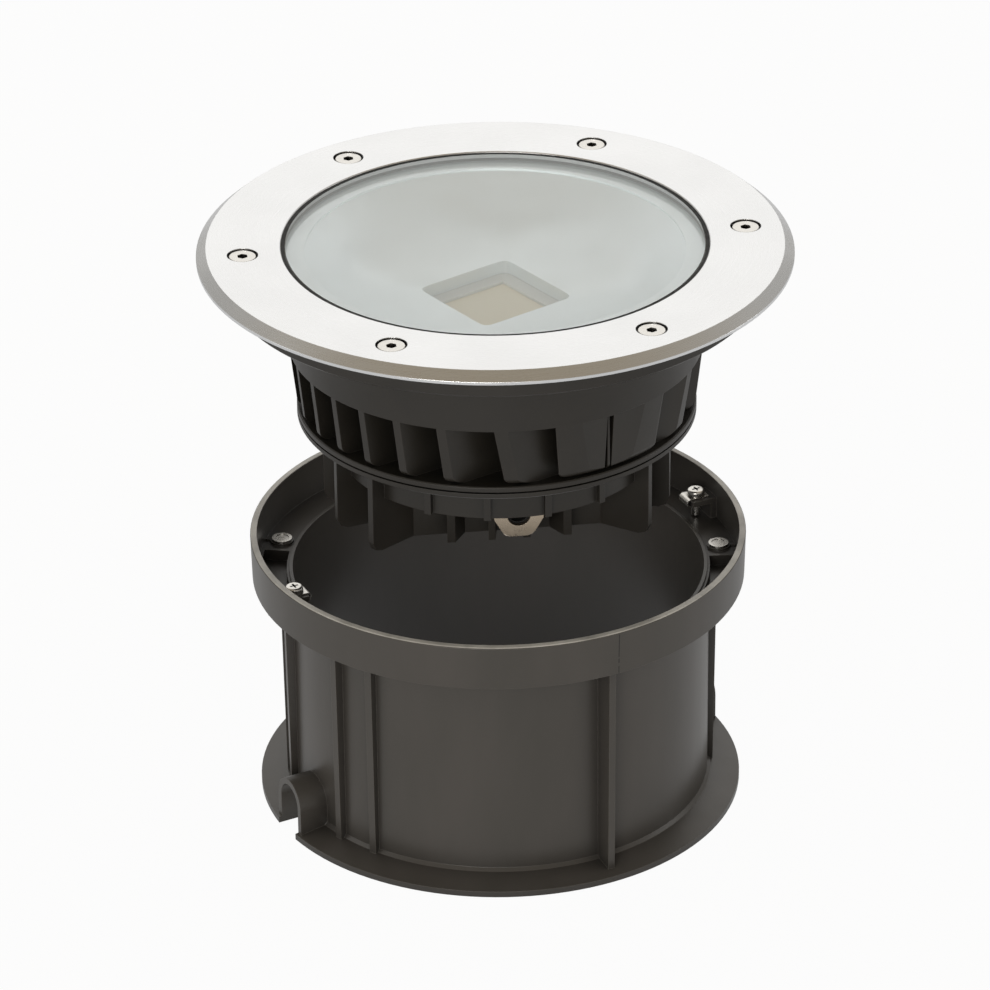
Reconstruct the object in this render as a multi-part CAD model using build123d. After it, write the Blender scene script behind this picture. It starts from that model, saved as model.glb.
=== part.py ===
"""In-ground well light: a round uplight standing clear above its mounting sleeve.

Millimetres, +Z up. The origin is on the sleeve's axis, on the ground under its foot.
The two cable spouts of the sleeve point along +X and -X. The luminaire hangs over the
sleeve, drawn out of it, and slides down the same axis until its flange meets the rim.
"""
from build123d import *
from math import sqrt
import os

# ---- driving dimensions: sleeve -------------------------------------------------------
SLEEVE_HEIGHT = 126.5
SLEEVE_BORE_R = 92.0
SLEEVE_WALL = 2.3
COLLAR_R = 110.5
COLLAR_WALL = 2.9
COLLAR_DRAFT = 0.5
LEDGE_DROP = 18.5
LEDGE_THICKNESS = 2.0
LEDGE_LIP = (1.6, 1.0)
FOOT_R = 108.8
FOOT_EDGE = 2.8
FOOT_ROOT = 5.0
FOOT_FILLET = 1.4
RIM_CHAMFER = 0.6
SPOUT_WIDTH = 22.0
SPOUT_HEIGHT = 26.0
SPOUT_WALL = 2.8
SPOUT_END_R = 107.0
SPOUT_ANGLES = (0, 180)
# angle from a spout, tip radius and thickness of the ribs on one half; the other is half a turn on
RIBS = ((14.0, 98.5, 3.4), (26.0, 98.0, 3.4), (90.0, 104.8, 3.2), (154.0, 98.0, 3.4), (166.0, 98.5, 3.4))
RIB_DRAFT = 1.2
STUD_ANGLES = (139.0, 340.0)
STUD_PITCH_R = 100.0
STUD_R = 4.5
STUD_STAND = 2.0
STUD_STEM_R = 2.5
STUD_STEM = 9.0
STUD_HEAD = 0.8
STUD_DISH = (3.1, 0.25)
STUD_WEB = 1.8
POCKETS = ((144.0, 170.0), (315.0, 335.0))
POCKET_DEPTH = 5.0
POCKET_WALL = 1.5
CLIP_ANGLES = (178.0, 358.0)
CLIP_PITCH_R = 100.0
LUG_TOP_DROP = 8.5
LUG_THICKNESS = 2.5
LUG_WIDTH = 12.0
LUG_TIP_R = 95.4
CLIP_SHEET = 0.7
CLIP_WIDTH = 8.0
CLIP_REACH = 4.6
CLIP_COLLAR = (3.2, 1.6)

# ---- driving dimensions: luminaire, heights counted down from the trim's top face -----
TRIM_TOP_Z = 267.5
TURN = 9.0
TRIM_R = 130.0
TRIM_OPENING_R = 93.2
TRIM_THICKNESS = 5.0
BEVEL_WIDTH = 4.3
BEVEL_DROP = 3.7
TRIM_SCREW_R = 110.0
TRIM_SCREW_ANGLES = tuple(29.5 + 60 * k for k in range(6))
TRIM_SCREW_HEAD_R = 6.0
TRIM_SCREW_RECESS = (6.8, 2.4)
TRIM_SINK = (7.45, 4.2)
TRIM_SCREW_TOP = -0.5
TRIM_SCREW_EDGE = -1.3
TRIM_SCREW_NECK = -4.3
TRIM_SCREW_TIP = -14.0
SOCKET_FLATS = 4.2
SOCKET_DEPTH = 3.7
FLANGE_R = 118.0
FLANGE_TOP = -TRIM_THICKNESS
FLANGE_BOTTOM = -17.0
FLARE_R = 104.0
FLARE_LOW = -22.0
FLARE_STEP = 2.1
GLASS_STEP_R = 91.7
GLASS_R = 97.4
GLASS_TOP = -0.5
GLASS_STEP = -5.6
GLASS_BOTTOM = -9.0
SEAT_R = 99.6
SEAT_Z = -10.0
GASKET_FOOT = 6.8
BODY_R = 91.4
BODY_TAPER = 0.6
CAVITY_R = 86.5
CAVITY_FLOOR = -41.0
BAND_BOTTOM = -47.0
CORE_R = 68.0
CHAMBER_R = 62.5
# the fins are parallel plates, the same on both sides of the middle, closed by a slotted wall
FIN_FACING = 267.0
FIN_PITCH = 16.9
FIN_PAIRS = 5
FIN_THICKNESS = 3.0
FIN_TIP_R = 88.2
WALL_FACE = 89.3
WALL_DRAFT = 4.6
WALL_SLOT = (-1.6, 3.4)
WALL_RIB = 1.2
RING_R = 88.0
RING_TOP = -75.0
RING_SPLIT = -77.4
REAR_GASKET_THICKNESS = 0.8
RING_BOTTOM = -80.6
SKIRT_R = 70.0
SKIRT_BOTTOM = -99.5
SKIRT_WALL = 3.5
STEP_Z = -90.0
STEP_THICKNESS = 2.5
DRUM_R = 54.0
DRUM_FLAT = 33.0
DRUM_WALL = 3.5
DRUM_BOTTOM = -125.0
PLATE_COUNT = 17
PLATE_R = 77.0
PLATE_THICKNESS = 3.0
PLATE_CUT = 41.5
STUB_R = 72.5
STUB_SPREAD = 45.0
CORNER_R = 5.0
COVER_SCREW_R = 75.0
# gaps between plates, counted from the gland's, that hold a cover screw
COVER_SCREW_GAPS = (-1, 2, 5, 8, 11, 14)
COVER_BOSS_R = 3.8
COVER_BOSS = 6.0

# ---- driving dimensions: light source -------------------------------------------------
REFLECTOR_R = 83.0
REFLECTOR_RIM_R = 92.0
REFLECTOR_WALL = 1.0
REFLECTOR_LEVELS = 5
THROAT = 48.0
THROAT_TOP = -30.5
THROAT_BOTTOM = -36.4
PAD_THICKNESS = 0.5
BOARD = (64.0, 74.0)
BOARD_THICKNESS = 2.0
EMITTER = 34.0
EMITTER_THICKNESS = 0.8
HOLDER = (58.0, 70.0)
HOLDER_THICKNESS = 1.9
HOLDER_SCREWS = ((22.0, 31.0), (22.0, -31.0), (-22.0, 31.0), (-22.0, -31.0))
HOLDER_TAP = 4.4
LEAD_HOLE_X = 38.0
LEAD_HOLE_R = 4.0

# ---- driving dimensions: cable gland and driver ---------------------------------------
GLAND_ANGLE = 240.0
GLAND_OFFSET = 2.4
GLAND_Z = -106.0
GLAND_FLATS = 20.6
GLAND_BOSS_R = 10.5
GLAND_BOSS_END = 41.8
GLAND_THREAD_R = 8.0
GLAND_END = 55.6
GLAND_START = 25.0
GLAND_BORE_R = 5.4
GLAND_WASHER = (10.2, 0.8)
GLAND_HEXAGON = 4.2
GLAND_COLLET = (8.2, 3.7)
GLAND_SEAL = (6.55, 0.8, 6.2)
NUT_GAP = 0.1
NUT_SOCKET = (8.25, 3.9)
NUT_CHAMFER = (10.9, 1.3)
NUT_LIP = (5.2, 2.0)
LOCKNUT = (19.8, 3.4)
CABLE_R = 4.5
DRIVER_SIZE = (46.0, 80.0, 25.0)
DRIVER_U = -6.0
DRIVER_TOP = -62.0
DRIVER_FOOT = 2.0
POST_V = 45.0
POST_R = 4.0
DRIVER_SCREW_LENGTH = 9.0
BLOCK_HOLE_R = 2.2
BLOCK_HOLE_PITCH = 8.0
TAG_THICKNESS = 1.2
BLOCK_SIZE = (16.0, 26.0, 14.0)
BLOCK_U = -4.0
LEAD_R = 1.2
LEAD_V_BEND = 30.0
EARTH_POST = (-14.0, -34.0)

# ---- screw threads, drawn as plain cylinders, and clearances ---------------------------
M3_R = 1.5
M4_R = 2.0
M6_R = 3.0
M4_PASS_R = 2.25
M3_PASS_R = 1.6
FIT = 0.05
TALL = 400.0

LEDGE_Z = SLEEVE_HEIGHT - LEDGE_DROP
LEDGE_LOW = LEDGE_Z - LEDGE_THICKNESS
WALL_R = SLEEVE_BORE_R + SLEEVE_WALL
COLLAR_IN_R = COLLAR_R - COLLAR_WALL
FLOOR_Z = DRUM_BOTTOM + DRUM_WALL
PAD_TOP = CAVITY_FLOOR + PAD_THICKNESS
BOARD_TOP = PAD_TOP + BOARD_THICKNESS
HOLDER_TOP = BOARD_TOP + HOLDER_THICKNESS
DRIVER_BOTTOM = DRIVER_TOP - DRIVER_SIZE[2]
POST_TOP = DRIVER_BOTTOM - DRIVER_FOOT
BLOCK_TOP = FLOOR_Z + BLOCK_SIZE[2]
BLOCK_WIRE_Z = FLOOR_Z + BLOCK_SIZE[2] / 2
GLAND_SEAT = GLAND_BOSS_END + GLAND_WASHER[1]
HEXAGON_END = GLAND_SEAT + GLAND_HEXAGON
PLATE_PITCH = 360 / PLATE_COUNT
COVER_SCREW_ANGLES = tuple(GLAND_ANGLE + PLATE_PITCH * k for k in COVER_SCREW_GAPS)


# ---- helpers --------------------------------------------------------------------------
def turned(points):
    """Solid of revolution about Z from a closed outline of (radius, height) points."""
    outline = make_face(Plane.XZ * Polyline(*points, close=True))
    return revolve(outline, axis=Axis.Z)


def disc(radius, low, high):
    """Cylinder on the Z axis between two heights."""
    return Pos(0, 0, low) * Cylinder(radius, high - low, align=(Align.CENTER, Align.CENTER, Align.MIN))


def block(x, y, z, low):
    """Box centred on the Z axis that stands on the height low."""
    return Pos(0, 0, low) * Box(x, y, z, align=(Align.CENTER, Align.CENTER, Align.MIN))


def ring(outer, inner, low, high):
    """Flat ring on the Z axis."""
    return disc(outer, low, high) - disc(inner, low - 1, high + 1)


def polar(radius, angle, z=0.0):
    """Place at a radius and angle about Z, turned so that local X points outwards."""
    return Rot(0, 0, angle) * Pos(radius, 0, z)


def along(angle, offset, z):
    """Place whose local Z runs outwards at the angle, offset sideways, at height z."""
    return Rot(0, 0, angle) * Pos(0, offset, z) * Rot(0, 90, 0)


def hexagon_bar(flats, low, high):
    """Hexagonal bar along Z, two flats facing local X."""
    profile = RegularPolygon(flats / 2, 6, major_radius=False, rotation=30)
    return Pos(0, 0, low) * extrude(profile, high - low)


def fused(first, others):
    """One solid from a first shape and a list of others."""
    result = first
    for other in others:
        result = result + other
    return result


def half_space(angle, distance, size=TALL):
    """Everything on the axis side of an upright plane that faces the angle."""
    body = Box(size, size, size, align=(Align.MAX, Align.CENTER, Align.CENTER))
    return Rot(0, 0, angle) * Pos(distance, 0, 0) * body


def placed(shape):
    """Move a luminaire piece from its own frame to its place over the sleeve."""
    return Pos(0, 0, TRIM_TOP_Z) * Rot(0, 0, TURN) * shape


# ---- sleeve ---------------------------------------------------------------------------
def sleeve_rib(angle, tip_r, thickness):
    """Upright rib outside the sleeve, from the foot to the collar's underside, drawn in at its foot."""
    root = SLEEVE_BORE_R + 1.0
    top = LEDGE_LOW + 0.5
    side = Plane.XZ * Polyline((root, 0.5), (tip_r - RIB_DRAFT, 0.5), (tip_r, top), (root, top), close=True)
    return Rot(0, 0, angle) * extrude(make_face(side), thickness / 2, both=True)


def arch(width, height, start_r, end_r, low):
    """Round topped bar lying along +X between two radii, flat at its underside."""
    half = width / 2
    length = end_r - start_r
    crown = Pos(start_r, 0, height - half) * Rot(0, 90, 0) * disc(half, 0, length)
    legs = Box(length, width, height - half - low, align=(Align.MIN, Align.CENTER, Align.MIN))
    return crown + Pos(start_r, 0, low) * legs


def clip_lug(angle):
    """Shelf on the collar's inner wall that a spring nut grips, with the web under it."""
    low = SLEEVE_HEIGHT - LUG_TOP_DROP - LUG_THICKNESS
    reach = COLLAR_IN_R + 1.0 - LUG_TIP_R
    shelf = Box(reach, LUG_WIDTH, LUG_THICKNESS, align=(Align.MIN, Align.CENTER, Align.MIN))
    web = Box(4.0, LUG_WIDTH, low - LEDGE_Z + 1.0, align=(Align.MAX, Align.CENTER, Align.MIN))
    hole = polar(CLIP_PITCH_R, angle) * disc(M4_R + 2 * FIT, low - 1, low + LUG_THICKNESS + 1)
    body = polar(LUG_TIP_R, angle, low) * shelf + polar(COLLAR_IN_R + 1.0, angle, LEDGE_Z - 0.5) * web
    return body - hole


def stud_seat():
    """Height that the underside of a stud's head rests on."""
    return LEDGE_Z + STUD_STAND - STUD_HEAD


def stud_boss(angle):
    """Round boss through the ledge, with a web to the collar's wall."""
    boss = polar(STUD_PITCH_R, angle) * disc(STUD_R + STUD_HEAD, LEDGE_Z - STUD_STEM - 2, stud_seat())
    web = Box(COLLAR_IN_R + 1 - STUD_PITCH_R, STUD_WEB, LEDGE_THICKNESS + STUD_STAND - 1.2,
              align=(Align.MIN, Align.CENTER, Align.MIN))
    hole = polar(STUD_PITCH_R, angle) * disc(STUD_STEM_R + FIT, LEDGE_Z - STUD_STEM, LEDGE_Z + 10)
    return boss + polar(STUD_PITCH_R, angle, LEDGE_LOW) * web, hole


def sector(outer, inner, low, high, start, end):
    """Part of a flat ring between two angles less than half a turn apart."""
    after_start = Rot(0, 0, start) * Box(TALL, TALL, TALL, align=(Align.CENTER, Align.MIN, Align.CENTER))
    before_end = Rot(0, 0, end) * Box(TALL, TALL, TALL, align=(Align.CENTER, Align.MAX, Align.CENTER))
    near = Box(TALL, TALL, TALL, align=(Align.MIN, Align.CENTER, Align.CENTER))
    return ring(outer, inner, low, high) & after_start & before_end & Rot(0, 0, (start + end) / 2) * near


def ledge_pocket(start, end):
    """Blind pocket let into the ledge between two angles, and the box under the ledge that closes it."""
    floor = LEDGE_Z - POCKET_DEPTH
    inner = WALL_R + 0.4
    outer = COLLAR_IN_R - POCKET_WALL
    box = sector(COLLAR_IN_R, WALL_R - 0.5, floor - POCKET_WALL, LEDGE_LOW + 0.5, start - 1, end + 1)
    return box, sector(outer, inner, floor, LEDGE_Z + 2, start, end)


def make_sleeve():
    """The moulded sleeve: open tube, foot flange, collar with an inner ledge, ribs and spouts."""
    lip_width, lip_height = LEDGE_LIP
    body = turned((
        (SLEEVE_BORE_R, 0), (FOOT_R, 0), (FOOT_R, FOOT_EDGE), (WALL_R + FOOT_FILLET, FOOT_ROOT),
        (WALL_R, FOOT_ROOT + FOOT_FILLET), (WALL_R, LEDGE_LOW), (COLLAR_R - COLLAR_DRAFT, LEDGE_LOW),
        (COLLAR_R, SLEEVE_HEIGHT - RIM_CHAMFER), (COLLAR_R - RIM_CHAMFER, SLEEVE_HEIGHT),
        (COLLAR_IN_R, SLEEVE_HEIGHT), (COLLAR_IN_R, LEDGE_Z),
        (SLEEVE_BORE_R + lip_width, LEDGE_Z), (SLEEVE_BORE_R + lip_width, LEDGE_Z + lip_height),
        (SLEEVE_BORE_R, LEDGE_Z + lip_height),
    ))
    ribs = [sleeve_rib(angle + half, tip_r, thick) for angle, tip_r, thick in RIBS for half in (0, 180)]
    barrel = arch(SPOUT_WIDTH, SPOUT_HEIGHT, WALL_R - 1.0, SPOUT_END_R, 0)
    barrels = [Rot(0, 0, angle) * barrel for angle in SPOUT_ANGLES]
    bosses = [stud_boss(angle) for angle in STUD_ANGLES]
    pockets = [ledge_pocket(start, end) for start, end in POCKETS]
    body = fused(body, ribs + barrels + [boss for boss, _ in bosses] + [box for box, _ in pockets])
    for _, pocket in pockets:
        body = body - pocket
    body = fused(body, [clip_lug(angle) for angle in CLIP_ANGLES])
    for _, hole in bosses:
        body = body - hole
    inner_width = SPOUT_WIDTH - 2 * SPOUT_WALL
    inner_height = SPOUT_HEIGHT - SPOUT_WALL
    for angle in SPOUT_ANGLES:
        body = body - Rot(0, 0, angle) * arch(inner_width, inner_height, SLEEVE_BORE_R - 4, FOOT_R + 4, -1)
    return body - disc(SLEEVE_BORE_R, -1, SLEEVE_HEIGHT + 1)


def make_locating_stud():
    """Flat round stud head with a shallow dish, on a stem pressed into its boss."""
    top = LEDGE_Z + STUD_STAND
    dish_r, dish_depth = STUD_DISH
    head = disc(STUD_R, stud_seat(), top) - disc(dish_r, top - dish_depth, top + 1)
    return head + disc(STUD_STEM_R, LEDGE_Z - STUD_STEM + 0.4, stud_seat())


def clip_leaf(start, end, low, high):
    """Face between two leaves, closed by a half round bend at its start."""
    return make_face(Plane.XZ * (
        Polyline((start, low), (end, low), (end, high), (start, high))
        + RadiusArc((start, high), (start, low), (low - high) / 2)
    ))


def make_clip_nut():
    """Folded sheet spring nut: two leaves joined by a round bend on the bore side."""
    low = SLEEVE_HEIGHT - LUG_TOP_DROP - LUG_THICKNESS - CLIP_SHEET
    high = SLEEVE_HEIGHT - LUG_TOP_DROP + CLIP_SHEET
    start = LUG_TIP_R - CLIP_PITCH_R
    outer = clip_leaf(start, CLIP_REACH, low, high)
    inner = clip_leaf(start, CLIP_REACH + 1, low + CLIP_SHEET, high - CLIP_SHEET)
    folded = extrude(outer, CLIP_WIDTH / 2, both=True) - extrude(inner, CLIP_WIDTH, both=True)
    collar_r, collar_height = CLIP_COLLAR
    return folded + disc(collar_r, low - collar_height, low) - disc(M4_R + FIT, low - 3, high + 3)


def pan_head_screw(head_r, head_height, shank_r, length, seat, drive_r=1.3, drive_depth=1.4):
    """Pan head screw pointing down, its head resting on the height seat, with a cross recess."""
    head = disc(head_r, seat, seat + head_height)
    head = fillet(head.edges().group_by(Axis.Z)[-1], head_height * 0.42)
    slot = block(2 * drive_r, drive_r * 0.45, drive_depth + 1, seat + head_height - drive_depth)
    return head + disc(shank_r, seat - length, seat) - slot - Rot(0, 0, 90) * slot


# ---- trim, glass and seals ------------------------------------------------------------
def make_trim_ring():
    """Flat stainless ring with a bevelled rim and six countersunk screw holes."""
    body = turned((
        (TRIM_OPENING_R, -0.4), (TRIM_OPENING_R + 0.4, 0), (TRIM_R - BEVEL_WIDTH, 0), (TRIM_R, -BEVEL_DROP),
        (TRIM_R, -TRIM_THICKNESS), (TRIM_OPENING_R, -TRIM_THICKNESS),
    ))
    recess_r, recess_depth = TRIM_SCREW_RECESS
    cone_r, cone_low = TRIM_SINK
    sink = turned((
        (0, 1), (recess_r, 1), (recess_r, -recess_depth), (cone_r - recess_depth, -recess_depth),
        (cone_r - cone_low, -cone_low), (cone_r - cone_low, -TRIM_THICKNESS - 1), (0, -TRIM_THICKNESS - 1),
    ))
    for angle in TRIM_SCREW_ANGLES:
        body = body - polar(TRIM_SCREW_R, angle) * sink
    return body


def make_trim_screw():
    """Countersunk M6 screw with a hexagon socket."""
    head_r = TRIM_SCREW_HEAD_R
    body = turned((
        (0, TRIM_SCREW_TOP), (head_r - 0.3, TRIM_SCREW_TOP), (head_r, TRIM_SCREW_TOP - 0.3),
        (head_r, TRIM_SCREW_EDGE), (M6_R, TRIM_SCREW_NECK), (M6_R, TRIM_SCREW_TIP + 0.8),
        (M6_R - 0.6, TRIM_SCREW_TIP), (0, TRIM_SCREW_TIP),
    ))
    return body - hexagon_bar(SOCKET_FLATS, TRIM_SCREW_TOP - SOCKET_DEPTH, 1)


def make_lens_glass():
    """Stepped toughened glass: the upper step fills the trim's opening."""
    return turned((
        (0, GLASS_TOP), (GLASS_STEP_R - 0.4, GLASS_TOP), (GLASS_STEP_R, GLASS_TOP - 0.4),
        (GLASS_STEP_R, GLASS_STEP), (GLASS_R, GLASS_STEP), (GLASS_R, GLASS_BOTTOM + 0.4),
        (GLASS_R - 0.4, GLASS_BOTTOM), (0, GLASS_BOTTOM),
    ))


def make_lens_gasket():
    """Black rubber channel round the glass edge, its lip standing in the trim's opening."""
    lip_out = TRIM_OPENING_R - FIT
    lip_in = GLASS_STEP_R + FIT
    hug_r = GLASS_R + FIT
    out_r = SEAT_R - FIT
    return turned((
        (lip_in, GLASS_TOP - 0.1), (lip_out, GLASS_TOP - 0.1), (lip_out, FLANGE_TOP - FIT),
        (out_r, FLANGE_TOP - FIT), (out_r, SEAT_Z), (SEAT_R - GASKET_FOOT, SEAT_Z),
        (SEAT_R - GASKET_FOOT, GLASS_BOTTOM - FIT), (hug_r, GLASS_BOTTOM - FIT),
        (hug_r, GLASS_STEP + FIT), (lip_in, GLASS_STEP + FIT),
    ))


# ---- heat sink housing ----------------------------------------------------------------
def fin_envelope():
    """Turned outline that trims the fins: tapered outside with a rounded lower corner."""
    low = RING_TOP - 0.6
    corner = RING_TOP + CORNER_R
    outline = Plane.XZ * (
        Polyline((FIN_TIP_R - CORNER_R, RING_TOP), (FIN_TIP_R - CORNER_R, low), (CORE_R - 2, low),
                 (CORE_R - 2, BAND_BOTTOM + 1), (BODY_R - BODY_TAPER, BAND_BOTTOM + 1),
                 (BODY_R - BODY_TAPER, BAND_BOTTOM), (FIN_TIP_R, corner))
        + RadiusArc((FIN_TIP_R, corner), (FIN_TIP_R - CORNER_R, RING_TOP), CORNER_R)
    )
    return revolve(make_face(outline), axis=Axis.Z)


def fin_slab(offset, thickness):
    """Upright plate at an offset from the middle, taller than the space between band and ring."""
    height = BAND_BOTTOM - RING_TOP + 4
    slab = Box(thickness, 2 * BODY_R, height, align=(Align.CENTER, Align.CENTER, Align.MIN))
    return Pos(offset, 0, RING_TOP - 1) * slab


def slotted_wall():
    """Outermost plate, its face drafted like the fins' tips, with a slot and a thin rib in the slot."""
    slot_y, slot_width = WALL_SLOT
    height = BAND_BOTTOM - RING_TOP + 8
    slab = Box(FIN_THICKNESS, 2 * BODY_R, height, align=(Align.MAX, Align.CENTER, Align.MAX))
    wall = Pos(WALL_FACE, 0, BAND_BOTTOM) * Rot(0, WALL_DRAFT, 0) * Pos(0, 0, 3) * slab
    slot = Pos(WALL_FACE, slot_y, RING_TOP) * Box(20, slot_width, BAND_BOTTOM - RING_TOP,
                                                  align=(Align.CENTER, Align.CENTER, Align.MIN))
    rib_height = BAND_BOTTOM - RING_TOP + 1
    rib = Box(WALL_FACE - CORE_R, WALL_RIB, rib_height, align=(Align.MIN, Align.CENTER, Align.MIN))
    return [wall - slot, Pos(CORE_R - 1.5, slot_y, RING_TOP - 0.5) * rib]


def fins():
    """Parallel plates and the two slotted walls, trimmed to the envelope."""
    envelope = fin_envelope()
    half_row = [fin_slab(FIN_PITCH * (k + 0.5), FIN_THICKNESS) for k in range(FIN_PAIRS)] + slotted_wall()
    pieces = []
    for turn in (0, 180):
        for plate in half_row:
            pieces += (Rot(0, 0, FIN_FACING + turn) * plate & envelope).solids()
    return pieces


def make_heat_sink_housing():
    """One casting: flange, band, floor, parallel fins, core wall and the upper half of the ring."""
    body = turned((
        (SEAT_R, FLANGE_TOP), (FLANGE_R, FLANGE_TOP), (FLANGE_R, FLANGE_BOTTOM + 1),
        (FLANGE_R - 1, FLANGE_BOTTOM), (FLARE_R, FLANGE_BOTTOM), (BODY_R + FLARE_STEP, FLARE_LOW),
        (BODY_R, FLARE_LOW - 2), (BODY_R - BODY_TAPER, BAND_BOTTOM),
        (CORE_R, BAND_BOTTOM), (CORE_R, RING_TOP), (RING_R - 0.5, RING_TOP), (RING_R, RING_TOP - 0.5),
        (RING_R, RING_SPLIT), (CHAMBER_R, RING_SPLIT), (CHAMBER_R, BAND_BOTTOM),
        (0, BAND_BOTTOM), (0, CAVITY_FLOOR),
        (CAVITY_R, CAVITY_FLOOR), (CAVITY_R, SEAT_Z), (SEAT_R, SEAT_Z),
    ))
    body = fused(body, fins())
    boss_top = RING_TOP + COVER_BOSS
    for angle in COVER_SCREW_ANGLES:
        body = body + polar(COVER_SCREW_R, angle) * disc(COVER_BOSS_R, RING_SPLIT + 0.5, boss_top)
    for angle in COVER_SCREW_ANGLES:
        body = body - polar(COVER_SCREW_R, angle) * disc(M4_R + FIT, RING_SPLIT - 1, boss_top - 1)
    for angle in TRIM_SCREW_ANGLES:
        body = body - polar(TRIM_SCREW_R, angle) * disc(M6_R + FIT, FLANGE_BOTTOM - 1, FLANGE_TOP + 1)
    for x, y in HOLDER_SCREWS:
        body = body - Pos(x, y, 0) * disc(M3_R + FIT, CAVITY_FLOOR - HOLDER_TAP, CAVITY_FLOOR + 1)
    return body - Pos(LEAD_HOLE_X, 0, 0) * disc(LEAD_HOLE_R, BAND_BOTTOM - 1, CAVITY_FLOOR + 1)


# ---- rear cover -----------------------------------------------------------------------
def drum(radius, flat, low, high):
    """D-shaped drum whose flat faces the cable gland."""
    return disc(radius, low, high) & half_space(GLAND_ANGLE, flat)


def in_drum(shape):
    """Turn a shape from the drum's own axes, X towards the gland, to the luminaire's."""
    return Rot(0, 0, GLAND_ANGLE) * shape


def in_gland(shape):
    """Lay a shape that is built upright along the gland's axis."""
    return along(GLAND_ANGLE, GLAND_OFFSET, GLAND_Z) * shape


def cooling_plates():
    """Radial plates under the ring: full ones at the sides, short ones in front of the flat."""
    full = turned((
        (PLATE_R, RING_BOTTOM + 1), (PLATE_R, DRUM_BOTTOM + CORNER_R), (PLATE_R - 1.5, DRUM_BOTTOM + 1.5),
        (PLATE_R - CORNER_R, DRUM_BOTTOM), (DRUM_R - 1, DRUM_BOTTOM), (DRUM_R - 1, SKIRT_BOTTOM + 1),
        (SKIRT_R - 1, SKIRT_BOTTOM + 1), (SKIRT_R - 1, RING_BOTTOM + 1),
    ))
    stub = ring(STUB_R, SKIRT_R - 1, SKIRT_BOTTOM, RING_BOTTOM + 1)
    tooth = disc(PLATE_R, DRUM_BOTTOM, STEP_Z - 1) & half_space(GLAND_ANGLE, PLATE_CUT)
    tooth = tooth - half_space(GLAND_ANGLE, DRUM_FLAT - 1)
    plates = []
    for k in range(PLATE_COUNT):
        from_gland = (k + 0.5) * PLATE_PITCH
        slab = Box(TALL / 2, PLATE_THICKNESS, TALL, align=(Align.MIN, Align.CENTER, Align.CENTER))
        slab = Rot(0, 0, GLAND_ANGLE + from_gland) * slab
        in_front = min(from_gland, 360 - from_gland) < STUB_SPREAD
        plates += [slab & stub, slab & tooth] if in_front else [slab & full]
    return plates


def make_rear_cover():
    """Second casting: lower half of the ring, skirt, step, D-shaped drum, gland boss and plates."""
    top = RING_SPLIT - REAR_GASKET_THICKNESS
    chamber = SKIRT_R - SKIRT_WALL - 2.0
    step_low = STEP_Z - STEP_THICKNESS
    body = turned((
        (chamber, top), (RING_R, top), (RING_R, RING_BOTTOM + 0.5), (RING_R - 0.5, RING_BOTTOM),
        (SKIRT_R, RING_BOTTOM), (SKIRT_R, SKIRT_BOTTOM), (SKIRT_R - SKIRT_WALL, SKIRT_BOTTOM),
        (SKIRT_R - SKIRT_WALL, step_low), (0, step_low), (0, STEP_Z), (chamber, STEP_Z),
    ))
    body = body + drum(DRUM_R, DRUM_FLAT, DRUM_BOTTOM, step_low + 0.5)
    body = fused(body, cooling_plates())
    body = body + in_gland(disc(GLAND_BOSS_R, DRUM_FLAT - 1, GLAND_BOSS_END))
    body = body - drum(DRUM_R - DRUM_WALL, DRUM_FLAT - DRUM_WALL, FLOOR_Z, STEP_Z + 0.5)
    for side in (1, -1):
        post = Pos(DRIVER_U, side * POST_V, 0)
        body = body + in_drum(post * disc(POST_R, FLOOR_Z - 1, POST_TOP))
        body = body - in_drum(post * disc(M4_R + FIT, POST_TOP - DRIVER_SCREW_LENGTH, POST_TOP + 1))
    earth = Pos(*EARTH_POST, 0)
    body = body + in_drum(earth * disc(POST_R, FLOOR_Z - 1, BLOCK_WIRE_Z - LEAD_R))
    body = body - in_drum(earth * disc(M4_R + FIT, FLOOR_Z + 0.5, BLOCK_WIRE_Z))
    body = body - in_gland(disc(GLAND_THREAD_R + FIT, 0, GLAND_BOSS_END + 5))
    for angle in COVER_SCREW_ANGLES:
        body = body - polar(COVER_SCREW_R, angle) * disc(M4_PASS_R, RING_BOTTOM - 1, top + 1)
    return body


def make_rear_gasket():
    """Flat rubber ring between the two castings, drawn in from their rim."""
    low = RING_SPLIT - REAR_GASKET_THICKNESS
    body = ring(RING_R - 1.4, CORE_R - 1, low, RING_SPLIT)
    for angle in COVER_SCREW_ANGLES:
        body = body - polar(COVER_SCREW_R, angle) * disc(M4_PASS_R, low - 1, RING_SPLIT + 1)
    return body


# ---- light source ---------------------------------------------------------------------
def bowl(grow, mouth_z, throat_z):
    """Dish from a nearly round mouth down to a square throat; grow makes the outer skin."""
    sections = []
    for k in range(REFLECTOR_LEVELS):
        share = k / (REFLECTOR_LEVELS - 1)
        half = REFLECTOR_R + (THROAT / 2 - REFLECTOR_R) * share
        rise = (half ** 2 - (THROAT / 2) ** 2) / (REFLECTOR_R ** 2 - (THROAT / 2) ** 2)
        z = THROAT_TOP + (SEAT_Z - THROAT_TOP) * rise - grow * 0.6
        corner = (half + grow) * (0.96 - 0.86 * share ** 1.6)
        size = 2 * (half + grow)
        outline = RectangleRounded(size, size, corner)
        if k == 0:
            sections.append(Pos(0, 0, mouth_z) * outline)
        sections.append(Pos(0, 0, z) * outline)
    sections.append(Pos(0, 0, throat_z) * outline)
    return loft(sections, ruled=True)


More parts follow.
